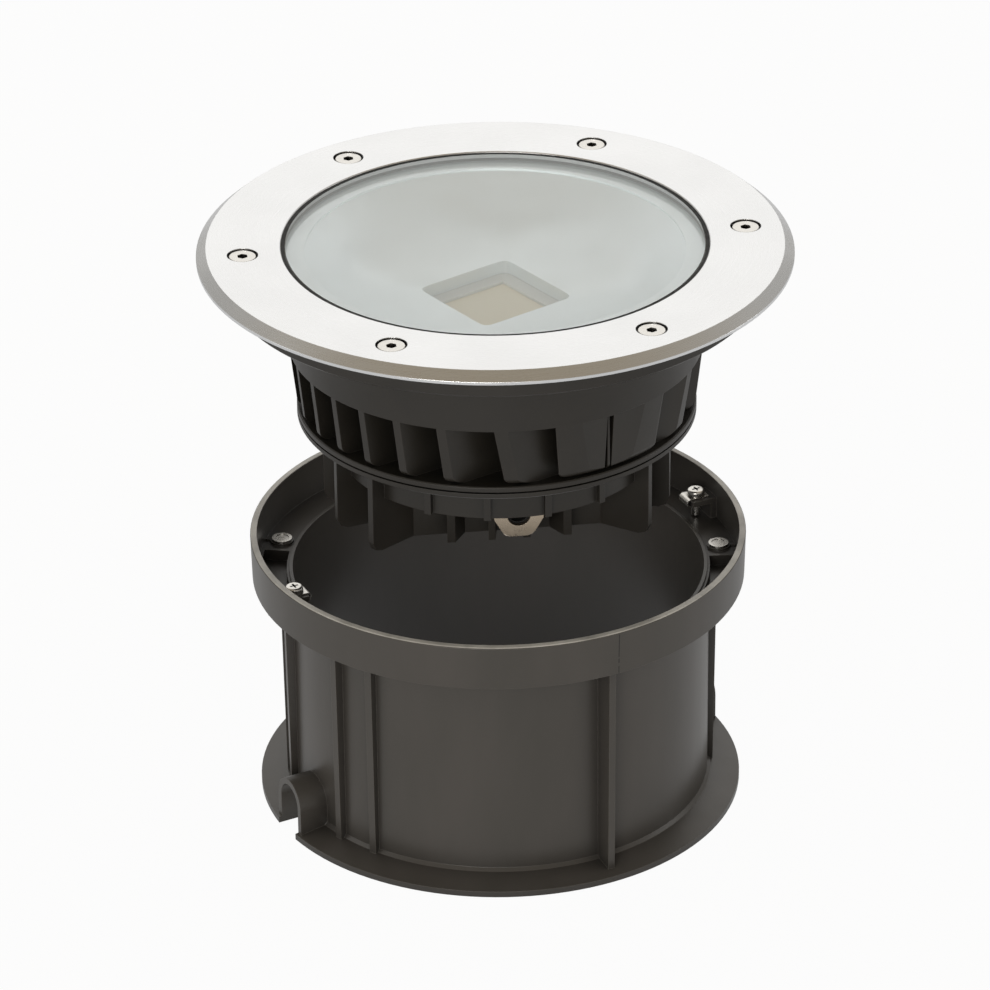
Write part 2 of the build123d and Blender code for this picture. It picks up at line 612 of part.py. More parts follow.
def make_reflector():
    """Pressed reflector: flat rim, dish and square throat."""
    wall = REFLECTOR_WALL
    rim_top = GLASS_BOTTOM - FIT
    skin = bowl(wall, rim_top - 0.4, THROAT_BOTTOM) + disc(REFLECTOR_RIM_R, SEAT_Z, rim_top)
    return skin - bowl(0, rim_top + 1, THROAT_BOTTOM - 1)


def drilled_plate(size, thickness, low):
    """Oblong plate with the four holes for the screws that hold the light source down."""
    body = block(*size, thickness, low)
    for x, y in HOLDER_SCREWS:
        body = body - Pos(x, y, 0) * disc(M3_PASS_R, low - 1, low + thickness + 1)
    return body


def make_led_holder():
    """White frame round the emitter."""
    window = block(EMITTER + 0.4, EMITTER + 0.4, HOLDER_THICKNESS + 2, BOARD_TOP - 1)
    return drilled_plate(HOLDER, HOLDER_THICKNESS, BOARD_TOP) - window


def led_leads():
    """Two wires from the driver's top through the housing floor to the board's edge."""
    wires = []
    end_x = HOLDER[0] / 2 + 0.4
    wire_z = BOARD_TOP + LEAD_R
    for y in (-2.2, 2.2):
        corner = (LEAD_HOLE_X, y, wire_z)
        route = FilletPolyline((LEAD_HOLE_X, y, DRIVER_TOP), corner, (end_x, y, wire_z), radius=5.0)
        start = Plane(origin=(LEAD_HOLE_X, y, DRIVER_TOP), z_dir=(0, 0, 1))
        wires.append(sweep(start * Circle(LEAD_R), path=route))
    return wires


# ---- driver, wiring and gland ---------------------------------------------------------
def make_driver():
    """Potted driver box on a foot plate with two screw holes."""
    width, length, height = DRIVER_SIZE
    box = block(width, length, height, DRIVER_BOTTOM)
    box = fillet(box.edges().filter_by(Axis.Z), 3.0)
    foot = block(14.0, 2 * POST_V + 8, DRIVER_FOOT, POST_TOP)
    body = Pos(DRIVER_U, 0, 0) * (box + foot)
    for side in (1, -1):
        body = body - Pos(DRIVER_U, side * POST_V, 0) * disc(M4_R + 0.2, POST_TOP - 1, DRIVER_BOTTOM + 3)
    return in_drum(body)


def driver_screws():
    """Two pan head screws through the driver's foot into the posts."""
    screw = pan_head_screw(2.9, 2.2, M4_R, DRIVER_SCREW_LENGTH, DRIVER_BOTTOM)
    return [in_drum(Pos(DRIVER_U, side * POST_V, 0) * screw) for side in (1, -1)]


def make_terminal_block():
    """Three way screw terminal on the drum's floor."""
    width, length, height = BLOCK_SIZE
    body = Pos(BLOCK_U, 0, 0) * block(width, length, height, FLOOR_Z)
    for k in (-1, 0, 1):
        hole = disc(BLOCK_HOLE_R, BLOCK_TOP - 3, BLOCK_TOP + 1)
        body = body - Pos(BLOCK_U, k * BLOCK_HOLE_PITCH, 0) * hole
    return in_drum(body)


def supply_leads():
    """Two wires from the terminal block up into the driver's underside."""
    wires = []
    for u in (BLOCK_U - 3, BLOCK_U + 3):
        start_v = BLOCK_SIZE[1] / 2
        route = FilletPolyline((u, start_v, BLOCK_WIRE_Z), (u, LEAD_V_BEND, BLOCK_WIRE_Z),
                               (u, LEAD_V_BEND, DRIVER_BOTTOM - DRIVER_FOOT), radius=12.0)
        start = Plane(origin=(u, start_v, BLOCK_WIRE_Z), z_dir=(0, 1, 0))
        wires.append(in_drum(sweep(start * Circle(LEAD_R), path=route)))
    return wires


def make_earth_lead():
    """Earth wire from the terminal block to a ring tag on its post."""
    start_v = -BLOCK_SIZE[1] / 2
    tag_u, tag_v = EARTH_POST
    route = FilletPolyline((BLOCK_U, start_v, BLOCK_WIRE_Z), (BLOCK_U, start_v - 11, BLOCK_WIRE_Z),
                           (tag_u + 2.6, tag_v + 2.6, BLOCK_WIRE_Z), radius=8.0)
    start = Plane(origin=(BLOCK_U, start_v, BLOCK_WIRE_Z), z_dir=(0, -1, 0))
    wire = sweep(start * Circle(LEAD_R), path=route)
    tag_low = BLOCK_WIRE_Z - LEAD_R
    tag = Pos(tag_u, tag_v, 0) * ring(POST_R, M4_R + 0.1, tag_low, tag_low + TAG_THICKNESS)
    bore = Pos(tag_u, tag_v, 0) * disc(M4_R + 0.1, BLOCK_WIRE_Z - 4, BLOCK_WIRE_Z + 4)
    return in_drum(wire + tag - bore)


def make_gland_body():
    """Brass gland body: long thread through the boss, hexagon and short outer thread."""
    collet_r, collet_length = GLAND_COLLET
    seal_r, seal_gap, _ = GLAND_SEAL
    body = disc(GLAND_THREAD_R, GLAND_START, GLAND_SEAT) + hexagon_bar(GLAND_FLATS, GLAND_SEAT, HEXAGON_END)
    body = body + disc(collet_r, HEXAGON_END, HEXAGON_END + collet_length)
    return body - disc(GLAND_BORE_R, 0, GLAND_END) - disc(seal_r + FIT, HEXAGON_END + seal_gap, GLAND_END)


def make_gland_seal():
    """Rubber sleeve that closes on the cable."""
    seal_r, seal_gap, seal_end = GLAND_SEAL
    return ring(seal_r, CABLE_R, HEXAGON_END + seal_gap, HEXAGON_END + seal_end)


def make_gland_nut():
    """Hexagon nut with a chamfered end that squeezes the seal."""
    start = HEXAGON_END + NUT_GAP
    chamfer_r, chamfer_length = NUT_CHAMFER
    socket_r, socket_length = NUT_SOCKET
    lip_r, lip_length = NUT_LIP
    body = hexagon_bar(GLAND_FLATS, start, GLAND_END)
    body = body & turned((
        (0, start), (GLAND_FLATS, start), (GLAND_FLATS / sqrt(3), GLAND_END - chamfer_length),
        (chamfer_r, GLAND_END), (0, GLAND_END),
    ))
    body = body - disc(socket_r, start - 1, start + socket_length)
    body = body - disc(GLAND_SEAL[0] + FIT, start, GLAND_END - lip_length)
    return body - disc(lip_r, start, GLAND_END + 1)


def make_gland_locknut():
    """Thin hexagon nut on the inside of the drum's flat wall."""
    flats, thickness = LOCKNUT
    inner_face = DRUM_FLAT - DRUM_WALL
    return hexagon_bar(flats, inner_face - thickness, inner_face) - disc(GLAND_THREAD_R + FIT, 0, GLAND_END)


# ---- the nodes ------------------------------------------------------------------------
def sleeve_nodes():
    """Pieces that stay in the ground."""
    clip_seat = SLEEVE_HEIGHT - LUG_TOP_DROP + CLIP_SHEET
    clip_screw = pan_head_screw(4.0, 2.8, M4_R, 10.0, clip_seat, 1.9, 1.5)
    return {
        "sleeve": [make_sleeve()],
        "locating_studs": [polar(STUD_PITCH_R, a) * make_locating_stud() for a in STUD_ANGLES],
        "clip_nuts": [polar(CLIP_PITCH_R, a) * make_clip_nut() for a in CLIP_ANGLES],
        "clip_screws": [polar(CLIP_PITCH_R, a) * clip_screw for a in CLIP_ANGLES],
    }


def luminaire_nodes():
    """Pieces that lift out together, in the luminaire's own frame."""
    cover_screw = Rot(180, 0, 0) * pan_head_screw(3.4, 2.2, M4_R, 9.0, -RING_BOTTOM)
    holder_screw = pan_head_screw(2.6, 1.9, M3_R, 8.0, HOLDER_TOP)
    earth_screw = Pos(*EARTH_POST, 0) * pan_head_screw(3.4, 2.2, M4_R, 5.0, BLOCK_WIRE_Z)
    return {
        "trim_ring": [make_trim_ring()],
        "trim_screws": [polar(TRIM_SCREW_R, a) * make_trim_screw() for a in TRIM_SCREW_ANGLES],
        "lens_glass": [make_lens_glass()],
        "lens_gasket": [make_lens_gasket()],
        "heat_sink_housing": [make_heat_sink_housing()],
        "reflector": [make_reflector()],
        "led_holder": [make_led_holder()],
        "led_holder_screws": [Pos(x, y, 0) * holder_screw for x, y in HOLDER_SCREWS],
        "led_board": [drilled_plate(BOARD, BOARD_THICKNESS, PAD_TOP)],
        "led_emitter": [block(EMITTER, EMITTER, EMITTER_THICKNESS, BOARD_TOP)],
        "thermal_pad": [drilled_plate(BOARD, PAD_THICKNESS, CAVITY_FLOOR)],
        "led_leads": led_leads(),
        "rear_gasket": [make_rear_gasket()],
        "rear_cover": [make_rear_cover()],
        "rear_cover_screws": [polar(COVER_SCREW_R, a) * cover_screw for a in COVER_SCREW_ANGLES],
        "driver": [make_driver()],
        "driver_screws": driver_screws(),
        "terminal_block": [make_terminal_block()],
        "supply_leads": supply_leads(),
        "earth_lead": [make_earth_lead()],
        "earth_screw": [in_drum(earth_screw)],
        "gland_washer": [in_gland(ring(GLAND_WASHER[0], GLAND_THREAD_R + FIT, GLAND_BOSS_END, GLAND_SEAT))],
        "gland_body": [in_gland(make_gland_body())],
        "gland_seal": [in_gland(make_gland_seal())],
        "gland_nut": [in_gland(make_gland_nut())],
        "gland_locknut": [in_gland(make_gland_locknut())],
    }


def main():
    """Write one STEP file per node."""
    os.makedirs("parts", exist_ok=True)
    nodes = sleeve_nodes()
    for name, shapes in luminaire_nodes().items():
        nodes[name] = [placed(shape) for shape in shapes]
    for name, shapes in nodes.items():
        solids = [solid for shape in shapes for solid in shape.solids()]
        piece = solids[0] if len(solids) == 1 else Compound(children=solids)
        export_step(piece, f"parts/{name}.step")


main()
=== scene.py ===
"""Looks of the in-ground well light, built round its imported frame. Metres, +Z up, in the row frame."""

import math

import bpy
import numpy as np
from mathutils import Matrix, Vector


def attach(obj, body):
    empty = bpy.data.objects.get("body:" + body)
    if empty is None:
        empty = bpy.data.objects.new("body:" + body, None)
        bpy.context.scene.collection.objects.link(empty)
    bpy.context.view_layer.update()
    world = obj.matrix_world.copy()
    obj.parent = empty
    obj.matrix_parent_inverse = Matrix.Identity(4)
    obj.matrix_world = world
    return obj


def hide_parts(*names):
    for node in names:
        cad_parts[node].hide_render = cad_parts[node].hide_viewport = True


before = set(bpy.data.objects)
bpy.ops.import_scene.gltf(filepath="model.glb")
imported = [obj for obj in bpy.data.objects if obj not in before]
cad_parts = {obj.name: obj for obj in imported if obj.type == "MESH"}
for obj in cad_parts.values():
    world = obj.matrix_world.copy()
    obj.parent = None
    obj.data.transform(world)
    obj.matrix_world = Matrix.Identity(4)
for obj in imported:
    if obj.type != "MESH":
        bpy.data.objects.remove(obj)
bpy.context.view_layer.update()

# ---- sizes shared with the solids, in metres ------------------------------------------
TRIM_TOP = 0.2675
LUMINAIRE_TURN = math.radians(9.0)
GLASS_GROUND_R = 0.0915
DISH_R = 0.083
DISH_SEAT_R = 0.0862
DISH_RIM_R = 0.092
DISH_RIM_TOP = -0.00905
DISH_RIM_LOW = -0.010
DISH_WALL = 0.001
THROAT_HALF = 0.024
THROAT_TOP = -0.0305
THROAT_LOW = -0.0364
RIM_LOW = 0.12615
RIM_HIGH = 0.1270
COLLAR_LOW = 0.1050
PARTING_ANGLE = math.radians(270.0)
PARTING_HALF = 0.00022

# ---- fineness of the dish ---------------------------------------------------------------
DISH_ROUND = 256
DISH_STEPS = 40
ROUND_POWER = 2.0
SQUARE_POWER = 14.0
DISH_DROP_SHARE = 0.6
CREASE_ANGLE = math.radians(38.0)

# ---- stage ------------------------------------------------------------------------------
WORLD_SIDES = (0.39, 0.38, 0.36)
WORLD_ABOVE = (0.30, 0.255, 0.19)
ABOVE_START = 0.45
ABOVE_END = 0.90
WHITE = (1.0, 1.0, 1.0)
FLOOR_HALF = 3.0
FLOOR_Z = -0.0003
FLOOR_PAPER = (0.62, 0.60, 0.57)
FLOOR_SHARE = 0.96
FLOOR_MIRRORED = 0.62

# Soft boxes: name, degrees to the right of the camera's side, degrees up, reach, size, watts, colour.
SOFT_BOXES = (
    ("back", 180.0, 34.0, 1.6, (2.2, 1.3), 6.3, WHITE),
    ("front", -12.0, 17.0, 1.6, (0.9, 0.6), 9.5, (1.0, 0.98, 0.95)),
    ("left", -82.0, 24.0, 1.3, (0.5, 0.8), 1.2, WHITE),
    ("right", 96.0, 14.0, 1.3, (0.4, 0.6), 1.8, WHITE),
)
LAMP_CENTRE = Vector((0.0, 0.0, 0.13))
LAMP_AIM = Vector((0.0, 0.0, 0.15))

# ---- camera -----------------------------------------------------------------------------
CAMERA_AZIMUTH = math.radians(-28.0)
CAMERA_REACH = 2.200
CAMERA_HEIGHT = 1.3070
CAMERA_PITCH = math.radians(27.895)
CAMERA_YAW = math.radians(-0.031)
CAMERA_ROLL = math.radians(-0.582)
CAMERA_LENS = 203.6
CAMERA_SENSOR = 36.0
CAMERA_CLIP = (0.05, 50.0)

# ---- colours, linear --------------------------------------------------------------------
STEEL_DULL = (0.82, 0.825, 0.83)
STEEL_CLEAN = (0.87, 0.875, 0.88)
# painted shade: near black, laid into the trim's recesses
STEEL_PAINTED_SHADE = (0.02, 0.02, 0.02)
PLATED = (0.78, 0.76, 0.72)
# painted shade for the drive recesses of screws, studs and clips
PLATED_PAINTED_SHADE = (0.02, 0.018, 0.016)
PAINT_DARK = (0.017, 0.0145, 0.011)
PAINT_LIGHT = (0.023, 0.0195, 0.015)
# painted shade between the fins and in other recesses of the powder coat
COAT_PAINTED_SHADE = (0.004, 0.004, 0.003)
PAINT_RUBBED = (0.055, 0.048, 0.040)
PLASTIC_DARK = (0.062, 0.057, 0.050)
PLASTIC_LIGHT = (0.074, 0.067, 0.060)
# painted shade in the sleeve's recesses
PLASTIC_PAINTED_SHADE = (0.020, 0.018, 0.016)
PLASTIC_RUBBED = (0.15, 0.14, 0.12)
# painted highlight along the collar's top rim
PLASTIC_RIM_PAINTED_HIGHLIGHT = (0.62, 0.60, 0.55)
PLASTIC_PARTING = (0.008, 0.007, 0.006)
RUBBER = (0.012, 0.012, 0.012)
GLASS = (0.955, 0.975, 0.98)
GLASS_THROUGH = (0.93, 0.96, 0.965)
GLASS_GROUND_DARK = (0.40, 0.41, 0.41)
GLASS_GROUND_LIGHT = (0.50, 0.51, 0.51)
ANODISED = (0.90, 0.935, 0.94)
NICKEL = (0.62, 0.52, 0.40)

# Finishes with a fine grain and nothing else: name, colour, roughness, nodes.
PLAIN_FINISHES = (
    ("white_plastic", (0.75, 0.74, 0.70), 0.45, ("led_holder", "terminal_block")),
    ("phosphor", (0.86, 0.76, 0.56), 0.5, ("led_emitter",)),
    ("board", (0.78, 0.78, 0.76), 0.4, ("led_board",)),
    ("grey_pad", (0.3, 0.32, 0.34), 0.7, ("thermal_pad",)),
    ("driver_case", (0.5, 0.5, 0.48), 0.5, ("driver",)),
    ("wire_red", (0.35, 0.03, 0.02), 0.4, ("led_leads",)),
    ("wire_brown", (0.14, 0.06, 0.03), 0.4, ("supply_leads",)),
    ("wire_green", (0.07, 0.28, 0.05), 0.4, ("earth_lead",)),
)


# ---- node trees -------------------------------------------------------------------------
class Graph:
    """Short hands for one node tree, which starts empty."""

    def __init__(self, tree):
        self.nodes = tree.nodes
        self.links = tree.links
        self.nodes.clear()

    def add(self, kind, **values):
        """New node with plain values on its inputs, by their names with _ for a space."""
        node = self.nodes.new(kind)
        for name, value in values.items():
            node.inputs[name.replace("_", " ")].default_value = value
        return node

    def link(self, source, target):
        """Join two sockets."""
        self.links.new(source, target)

    def math(self, operation, *terms):
        """One math node on sockets or numbers."""
        node = self.nodes.new("ShaderNodeMath")
        node.operation = operation
        for slot, term in enumerate(terms):
            if isinstance(term, (int, float)):
                node.inputs[slot].default_value = term
            else:
                self.link(term, node.inputs[slot])
        return node.outputs[0]

    def split(self, source):
        """X, Y and Z of a vector."""
        node = self.add("ShaderNodeSeparateXYZ")
        self.link(source, node.inputs[0])
        return node.outputs

    def ranged(self, source, low, high, start=0.3, end=0.7):
        """Map a value between start and end to low and high."""
        node = self.add("ShaderNodeMapRange", From_Min=start, From_Max=end, To_Min=low, To_Max=high)
        self.link(source, node.inputs["Value"])
        return node.outputs["Result"]

    def mixed(self, factor, first, second):
        """Colour between two colours; the first may be a socket."""
        node = self.nodes.new("ShaderNodeMix")
        node.data_type = "RGBA"
        self.link(factor, node.inputs["Factor"])
        if isinstance(first, tuple):
            node.inputs[6].default_value = (*first, 1.0)
        else:
            self.link(first, node.inputs[6])
        node.inputs[7].default_value = (*second, 1.0)
        return node.outputs[2]

    def mixed_shaders(self, factor, first, second):
        """First shader at nought, second at one."""
        node = self.add("ShaderNodeMixShader")
        self.link(factor, node.inputs["Fac"])
        self.link(first, node.inputs[1])
        self.link(second, node.inputs[2])
        return node.outputs["Shader"]


class Surface(Graph):
    """A principled material with helpers that add procedural detail on Object coordinates."""

    def __init__(self, name, colour, rough, metallic=0.0, **sockets):
        self.material = bpy.data.materials.new(name)
        self.material.use_nodes = True
        super().__init__(self.material.node_tree)
        self.output = self.add("ShaderNodeOutputMaterial")
        self.shader = self.add("ShaderNodeBsdfPrincipled", Base_Color=(*colour, 1.0), Roughness=rough,
                               Metallic=metallic, **sockets)
        self.link(self.shader.outputs["BSDF"], self.output.inputs["Surface"])
        self.place = self.add("ShaderNodeTexCoord").outputs["Object"]
        self.normal = None

    def set_normal(self, normal):
        """Shade by this normal, which later bumps build on."""
        self.normal = normal
        self.link(normal, self.shader.inputs["Normal"])
        return self

    def stretched(self, scale):
        """Object coordinates scaled by three numbers."""
        mapping = self.add("ShaderNodeMapping", Scale=scale)
        self.link(self.place, mapping.inputs["Vector"])
        return mapping.outputs["Vector"]

    def radius(self):
        """Distance from the upright axis, in metres."""
        place = self.split(self.place)
        square = self.math("ADD", self.math("MULTIPLY", place["X"], place["X"]),
                           self.math("MULTIPLY", place["Y"], place["Y"]))
        return self.math("SQRT", square)

    def polar(self, radial, around, height):
        """Coordinates that run along the radius, round the axis and up, each scaled."""
        place = self.split(self.place)
        angle = self.math("ARCTAN2", place["Y"], place["X"])
        join = self.add("ShaderNodeCombineXYZ")
        self.link(self.math("MULTIPLY", self.radius(), radial), join.inputs["X"])
        self.link(self.math("MULTIPLY", angle, around), join.inputs["Y"])
        self.link(self.math("MULTIPLY", place["Z"], height), join.inputs["Z"])
        return join.outputs[0]

    def noise(self, scale, detail=3.0, source=None, rough=0.5):
        """Noise between 0 and 1."""
        node = self.add("ShaderNodeTexNoise", Scale=scale, Detail=detail, Roughness=rough)
        self.link(source or self.place, node.inputs["Vector"])
        return node.outputs["Fac"]

    def height_band(self, low, high):
        """One between two heights, in metres above the ground, and nought elsewhere."""
        height = self.split(self.place)["Z"]
        above = self.math("GREATER_THAN", height, low)
        return self.math("MULTIPLY", above, self.math("LESS_THAN", height, high))

    def vary_rough(self, source, low, high):
        """Let the roughness follow a texture."""
        self.link(self.ranged(source, low, high), self.shader.inputs["Roughness"])
        return self

    def vary_colour(self, source, dark, light):
        """Let the colour follow a texture between two colours."""
        self.link(self.mixed(self.ranged(source, 0.0, 1.0), dark, light), self.shader.inputs["Base Color"])
        return self

    def blend(self, factor, colour):
        """Lay a colour over the one that the surface has already, by a factor."""
        socket = self.shader.inputs["Base Color"]
        under = socket.links[0].from_socket if socket.is_linked else tuple(socket.default_value)[:3]
        self.link(self.mixed(factor, under, colour), socket)
        return self

    def soft_edges(self, radius):
        """Shade the edges as if they were rounded."""
        node = self.add("ShaderNodeBevel", Radius=radius)
        node.samples = 4
        return self.set_normal(node.outputs["Normal"])

    def worn_edges(self, radius, colour):
        """Paler colour where a rounded normal leaves the true one, which is along sharp edges."""
        rounded = self.add("ShaderNodeBevel", Radius=radius)
        rounded.samples = 3
        true_normal = self.add("ShaderNodeNewGeometry").outputs["Normal"]
        dot = self.nodes.new("ShaderNodeVectorMath")
        dot.operation = "DOT_PRODUCT"
        self.link(rounded.outputs["Normal"], dot.inputs[0])
        self.link(true_normal, dot.inputs[1])
        worn = self.ranged(self.math("SUBTRACT", 1.0, dot.outputs["Value"]), 0.0, 1.0, 0.03, 0.25)
        return self.blend(self.math("MULTIPLY", worn, self.ranged(self.noise(90.0, 4.0), 0.55, 1.0)), colour)

    def painted_shade_in_recesses(self, reach, colour, start, end):
        """Painted shade: a darker colour in recesses, where the surface is shut in by its neighbours."""
        shut = self.add("ShaderNodeAmbientOcclusion", Distance=reach)
        shut.samples = 3
        return self.blend(self.ranged(shut.outputs["AO"], 1.0, 0.0, start, end), colour)

    def bump(self, source, depth, strength=1.0):
        """Raise the surface by a texture, on top of what shapes its normal already."""
        node = self.add("ShaderNodeBump", Distance=depth, Strength=strength)
        self.link(source, node.inputs["Height"])
        if self.normal is not None:
            self.link(self.normal, node.inputs["Normal"])
        return self.set_normal(node.outputs["Normal"])


# ---- finishes ---------------------------------------------------------------------------
def trim_steel():
    """Satin stainless with very fine lines round the ring, and painted shade in the screws' recesses."""
    s = Surface("trim_steel", STEEL_CLEAN, 0.3, 1.0).soft_edges(0.0003)
    lines = s.noise(1.0, 4.0, s.polar(5200.0, 7.0, 900.0), 0.6)
    s.vary_rough(lines, 0.25, 0.32)
    s.vary_colour(s.noise(22.0, 4.0), STEEL_DULL, STEEL_CLEAN)
    # painted shade, near black, in the screws' recesses
    s.painted_shade_in_recesses(0.0022, STEEL_PAINTED_SHADE, 0.30, 0.72)
    return s.bump(lines, 0.000003)


def plated_steel():
    """Plated steel of screws, studs and clips, with painted shade in the drive recesses."""
    s = Surface("bright_steel", PLATED, 0.28, 1.0).soft_edges(0.00015)
    s.vary_rough(s.noise(900.0, 3.0), 0.23, 0.34)
    # painted shade in the drive recesses
    s.painted_shade_in_recesses(0.0040, PLATED_PAINTED_SHADE, 0.36, 0.72)
    return s.bump(s.noise(2600.0, 3.0), 0.0000015)


def powder_coat():
    """Dark powder coat with a fine orange peel, painted shade between the fins, rubbed along the edges."""
    s = Surface("housing_paint", PAINT_DARK, 0.42, 0.0, Specular_IOR_Level=0.5).soft_edges(0.0004)
    s.vary_rough(s.noise(60.0, 4.0), 0.38, 0.46)
    s.vary_colour(s.noise(35.0, 5.0), PAINT_DARK, PAINT_LIGHT)
    # painted shade between the fins and in other recesses
    s.painted_shade_in_recesses(0.020, COAT_PAINTED_SHADE, 0.22, 0.66)
    s.worn_edges(0.0004, PAINT_RUBBED)
    return s.bump(s.noise(1500.0, 3.0), 0.00003, 0.5)


def moulded_plastic():
    """Black moulded plastic with faint flow marks, a painted highlight along its rim, paler rubbed edges,
    painted shade in recesses and a parting line.
    """
    s = Surface("sleeve_plastic", PLASTIC_DARK, 0.34, 0.0, Specular_IOR_Level=0.5).soft_edges(0.0003)
    s.vary_rough(s.noise(1.0, 5.0, s.stretched((60.0, 60.0, 9.0))), 0.32, 0.37)
    s.vary_colour(s.noise(1.0, 4.0, s.stretched((40.0, 40.0, 12.0))), PLASTIC_DARK, PLASTIC_LIGHT)
    # painted shade in the sleeve's recesses
    s.painted_shade_in_recesses(0.012, PLASTIC_PAINTED_SHADE, 0.25, 0.85)
    s.worn_edges(0.0004, PLASTIC_RUBBED)
    # painted highlight: a pale band on the collar's top rim, broken by grain
    pale = s.ranged(s.noise(70.0, 4.0), 0.5, 1.0)
    s.blend(s.math("MULTIPLY", s.height_band(RIM_LOW, RIM_HIGH), pale), PLASTIC_RIM_PAINTED_HIGHLIGHT)
    s.blend(parting_line(s), PLASTIC_PARTING)
    return s.bump(s.noise(1100.0, 3.0), 0.00002, 0.4)


def parting_line(s):
    """One on a broken hairline down the collar, where the plane at PARTING_ANGLE cuts it on both sides."""
    place = s.split(s.place)
    across = s.math("SUBTRACT", s.math("MULTIPLY", place["X"], math.sin(PARTING_ANGLE)),
                    s.math("MULTIPLY", place["Y"], math.cos(PARTING_ANGLE)))
    line = s.math("LESS_THAN", s.math("ABSOLUTE", across), PARTING_HALF)
    broken = s.math("GREATER_THAN", s.noise(420.0, 2.0), 0.42)
    return s.math("MULTIPLY", s.math("MULTIPLY", line, s.height_band(COLLAR_LOW, RIM_LOW)), broken)


def rubber():
    """Matt black rubber."""
    s = Surface("black_rubber", RUBBER, 0.6, 0.0, Specular_IOR_Level=0.35)
    s.vary_rough(s.noise(300.0, 3.0), 0.5, 0.7)
    return s.bump(s.noise(2000.0, 2.0), 0.00001)


def glass():
    """Clear glass with a ground edge; it lets the lamps' light through without a shadow."""
    s = Surface("lens_glass", GLASS, 0.0, 0.0, Transmission_Weight=1.0, IOR=1.46)
    clear = s.add("ShaderNodeBsdfTransparent", Color=(*GLASS_THROUGH, 1.0))
    path = s.add("ShaderNodeLightPath")
    through = s.math("MAXIMUM", path.outputs["Is Shadow Ray"], path.outputs["Is Diffuse Ray"])
    pane = s.mixed_shaders(through, s.shader.outputs["BSDF"], clear.outputs["BSDF"])
    ground = s.add("ShaderNodeBsdfDiffuse")
    s.link(s.mixed(s.noise(1600.0, 3.0), GLASS_GROUND_DARK, GLASS_GROUND_LIGHT), ground.inputs["Color"])
    edge = s.math("GREATER_THAN", s.radius(), GLASS_GROUND_R)
    s.link(s.mixed_shaders(edge, pane, ground.outputs["BSDF"]), s.output.inputs["Surface"])
    return s


def reflector_metal():
    """Satin anodised aluminium."""
    s = Surface("reflector_metal", ANODISED, 0.52, 0.75)
    s.vary_rough(s.noise(70.0, 3.0), 0.50, 0.55)
    return s.bump(s.noise(900.0, 3.0), 0.000008)


def plain_finish(name, colour, rough):
    """Simple finish with a fine grain."""
    s = Surface(name, colour, rough)
    s.vary_rough(s.noise(400.0, 3.0), rough - 0.06, rough + 0.06)
    return s.bump(s.noise(1800.0, 2.0), 0.00001)


def nickel_brass():
    """Nickel plated brass, a little warm."""
    s = Surface("nickel_brass", NICKEL, 0.3, 1.0).soft_edges(0.0002)
    s.vary_rough(s.noise(500.0, 3.0), 0.24, 0.40)
    return s.bump(s.noise(1500.0, 3.0), 0.00001)


def dress(names, surface):
    """Give CAD nodes a material in place of their own."""
    for name in names:
        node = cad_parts[name]
        node.data.materials.clear()
        node.data.materials.append(surface.material)


def dress_all():
    """Every CAD node gets its finish."""
    dress(["trim_ring"], trim_steel())
    dress(["trim_screws", "locating_studs", "clip_nuts", "clip_screws", "led_holder_screws",
           "rear_cover_screws", "driver_screws", "earth_screw"], plated_steel())
    dress(["heat_sink_housing", "rear_cover"], powder_coat())
    dress(["sleeve"], moulded_plastic())
    dress(["lens_gasket", "rear_gasket", "gland_seal", "gland_washer"], rubber())
    dress(["lens_glass"], glass())
    dress(["gland_body", "gland_nut", "gland_locknut"], nickel_brass())
    for name, colour, rough, nodes in PLAIN_FINISHES:
        dress(nodes, plain_finish(name, colour, rough))


# ---- the dish ---------------------------------------------------------------------------
def squared_ring(half, power, z):
    """Closed loop at height z: radius = half / (|cos|^power + |sin|^power)^(1/power), round at power 2."""
    t = np.linspace(0.0, 2.0 * math.pi, DISH_ROUND, endpoint=False)
    radius = half / (np.abs(np.cos(t)) ** power + np.abs(np.sin(t)) ** power) ** (1.0 / power)
    turned = t + LUMINAIRE_TURN
    height = np.full_like(t, TRIM_TOP + z)
    return np.stack([radius * np.cos(turned), radius * np.sin(turned), height], axis=1)


def dish_skin(grow):
    """Loops from mouth to throat: half width falls evenly, height follows its square, power rises."""
    loops = []
    for share in np.linspace(0.0, 1.0, DISH_STEPS):
        half = DISH_R + (THROAT_HALF - DISH_R) * share
        rise = (half ** 2 - THROAT_HALF ** 2) / (DISH_R ** 2 - THROAT_HALF ** 2)
        z = THROAT_TOP + (DISH_RIM_LOW - THROAT_TOP) * rise - grow * DISH_DROP_SHARE
        power = ROUND_POWER + (SQUARE_POWER - ROUND_POWER) * share ** 3
        loops.append(squared_ring(half + grow, power, z))
    loops.append(squared_ring(THROAT_HALF + grow, SQUARE_POWER, THROAT_LOW))
    return loops


def loops_to_piece(name, loops):
    """Closed skin through loops of equal count: each is joined to the next one, the last to the first."""
    number = np.arange(len(loops) * len(loops[0])).reshape(len(loops), -1)
    below = np.roll(number, -1, axis=0)
    faces = np.stack([number, below, np.roll(below, -1, axis=1), np.roll(number, -1, axis=1)], axis=-1)
    mesh = bpy.data.meshes.new(name)
    mesh.from_pydata(np.concatenate(loops).tolist(), [], faces.reshape(-1, 4).tolist())
    mesh.set_sharp_from_angle(angle=CREASE_ANGLE)
    piece = bpy.data.objects.new(name, mesh)
    bpy.context.scene.collection.objects.link(piece)
    return piece


